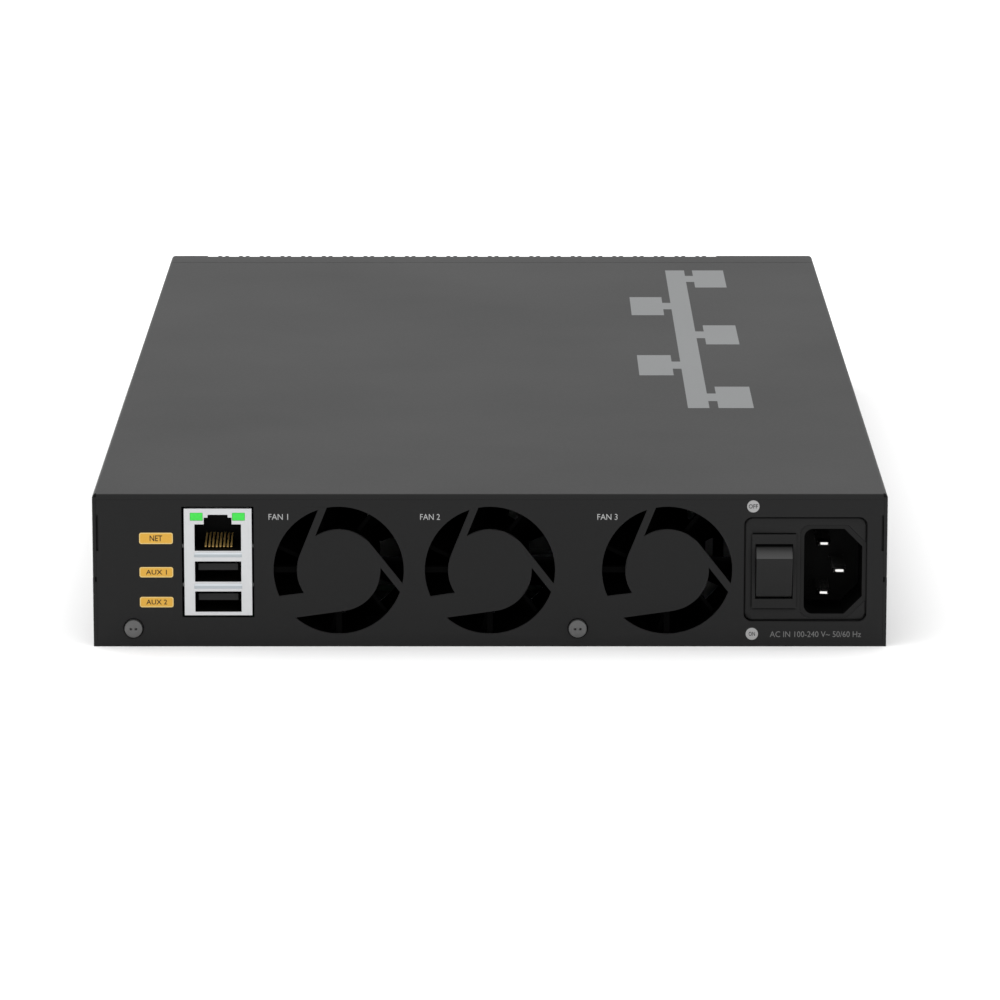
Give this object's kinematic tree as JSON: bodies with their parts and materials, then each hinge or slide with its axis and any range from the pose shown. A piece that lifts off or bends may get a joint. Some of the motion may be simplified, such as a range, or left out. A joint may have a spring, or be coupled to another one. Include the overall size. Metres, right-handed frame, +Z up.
{
  "type": "rackmount network switch",
  "caption": "Half-width 1U network switch with rear fans, a mains inlet with rocker switch, stacked management ports, and jacks and module cages on the port side.",
  "frame": {"origin": "bottom centre of the switch", "axes": "+Z up, -Y towards the rear panel with the fans and the power inlet, +Y towards the port side, +X to the right when looking along +Y"},
  "size_m": [0.22, 0.4046, 0.0432],
  "materials": {
    "painted_steel": "fine-textured matt dark grey powder coat on steel sheet",
    "lid_paint": "fine satin black powder coat",
    "black_screw": "black zinc plating",
    "panel_screw": "dull zinc plating, cross recess",
    "zinc_nut": "bright zinc plating",
    "zinc_sheet": "galvanised sheet",
    "fan_plastic": "glass-filled black moulding",
    "steel_cup": "drawn steel",
    "coil_copper": "enamelled copper winding",
    "lead_jacket": "matt wire insulation",
    "entry_plastic": "satin black moulding",
    "rocker_plastic": "satin black moulding",
    "pin_plate": "nickel plating",
    "board_laminate": "green solder mask",
    "ferrite": "dark sintered ferrite",
    "can_sleeve": "sleeved aluminium can",
    "sink_aluminium": "extruded and milled",
    "chip_epoxy": "moulded epoxy",
    "header_plastic": "natural nylon",
    "plated_shield": "tin-plated stamped sheet",
    "port_plastic": "black glass-filled moulding",
    "gold_contact": "gold flash",
    "clear_pipe": "clear light pipe",
    "button_plastic": "satin moulding",
    "green_lamp": "lit green window"
  },
  "bodies": {
    "root": {"chassis_tray": "painted_steel", "rear_panel": "painted_steel", "top_cover": "lid_paint", "front_bezel": "lid_paint", "front_plate": "painted_steel", "cover_screws": "black_screw", "rear_panel_screws": "panel_screw", "nut_inserts": "zinc_nut", "board_standoffs": "zinc_nut", "fan_frame_1": "fan_plastic", "fan_frame_2": "fan_plastic", "fan_frame_3": "fan_plastic", "fan_stators": "coil_copper", "fan_bracket": "zinc_sheet", "fan_screws": "black_screw", "fan_leads": "lead_jacket", "power_entry_plate": "entry_plastic", "inlet_housing": "entry_plastic", "inlet_pins": "pin_plate", "switch_housing": "entry_plastic", "switch_terminals": "pin_plate", "mains_leads": "lead_jacket", "supply_cage": "zinc_sheet", "supply_board": "board_laminate", "supply_transformer": "ferrite", "supply_capacitors": "can_sleeve", "supply_heatsinks": "sink_aluminium", "supply_choke": "coil_copper", "supply_leads": "lead_jacket", "main_board": "board_laminate", "board_chips": "chip_epoxy", "main_heatsink": "sink_aluminium", "processor_heatsink": "sink_aluminium", "heatsink_pins": "pin_plate", "power_inductors": "ferrite", "board_capacitors": "can_sleeve", "board_headers": "header_plastic", "board_screws": "zinc_nut", "rj45_shield": "plated_shield", "rj45_insulator": "port_plastic", "rj45_contacts": "gold_contact", "sfp_cage": "plated_shield", "sfp_connectors": "port_plastic", "light_pipes": "clear_pipe", "console_port": "plated_shield", "tact_switches": "port_plastic", "mgmt_shield": "plated_shield", "mgmt_insulator": "port_plastic", "mgmt_contacts": "gold_contact", "mgmt_lenses": "green_lamp"},
    "fan_1_rotor": {"fan_impeller_1": "fan_plastic", "fan_rotor_yoke_1": "steel_cup"},
    "fan_2_rotor": {"fan_impeller_2": "fan_plastic", "fan_rotor_yoke_2": "steel_cup"},
    "fan_3_rotor": {"fan_impeller_3": "fan_plastic", "fan_rotor_yoke_3": "steel_cup"},
    "rocker": {"switch_rocker": "rocker_plastic"},
    "reset": {"reset_button": "button_plastic"},
    "mode": {"mode_button": "button_plastic"}
  },
  "joints": [
    {"name": "fan_1_spin", "type": "hinge", "parent": "root", "child": "fan_1_rotor", "pos_m": [-0.0419, -0.184, 0.0216], "axis": [0, 1, 0], "continuous": true},
    {"name": "fan_2_spin", "type": "hinge", "parent": "root", "child": "fan_2_rotor", "pos_m": [0, -0.184, 0.0216], "axis": [0, 1, 0], "continuous": true},
    {"name": "fan_3_spin", "type": "hinge", "parent": "root", "child": "fan_3_rotor", "pos_m": [0.04907, -0.184, 0.0216], "axis": [0, 1, 0], "continuous": true},
    {"name": "power_rocker", "type": "hinge", "parent": "root", "child": "rocker", "pos_m": [0.07871, -0.197, 0.02127], "axis": [1, 0, 0], "range_deg": [-38, 0]},
    {"name": "reset_press", "type": "slide", "parent": "root", "child": "reset", "axis": [0, -1, 0], "range_m": [0, 0.0008], "stiffness_N_per_m": 400},
    {"name": "mode_press", "type": "slide", "parent": "root", "child": "mode", "axis": [0, -1, 0], "range_m": [0, 0.001], "stiffness_N_per_m": 500}
  ]
}
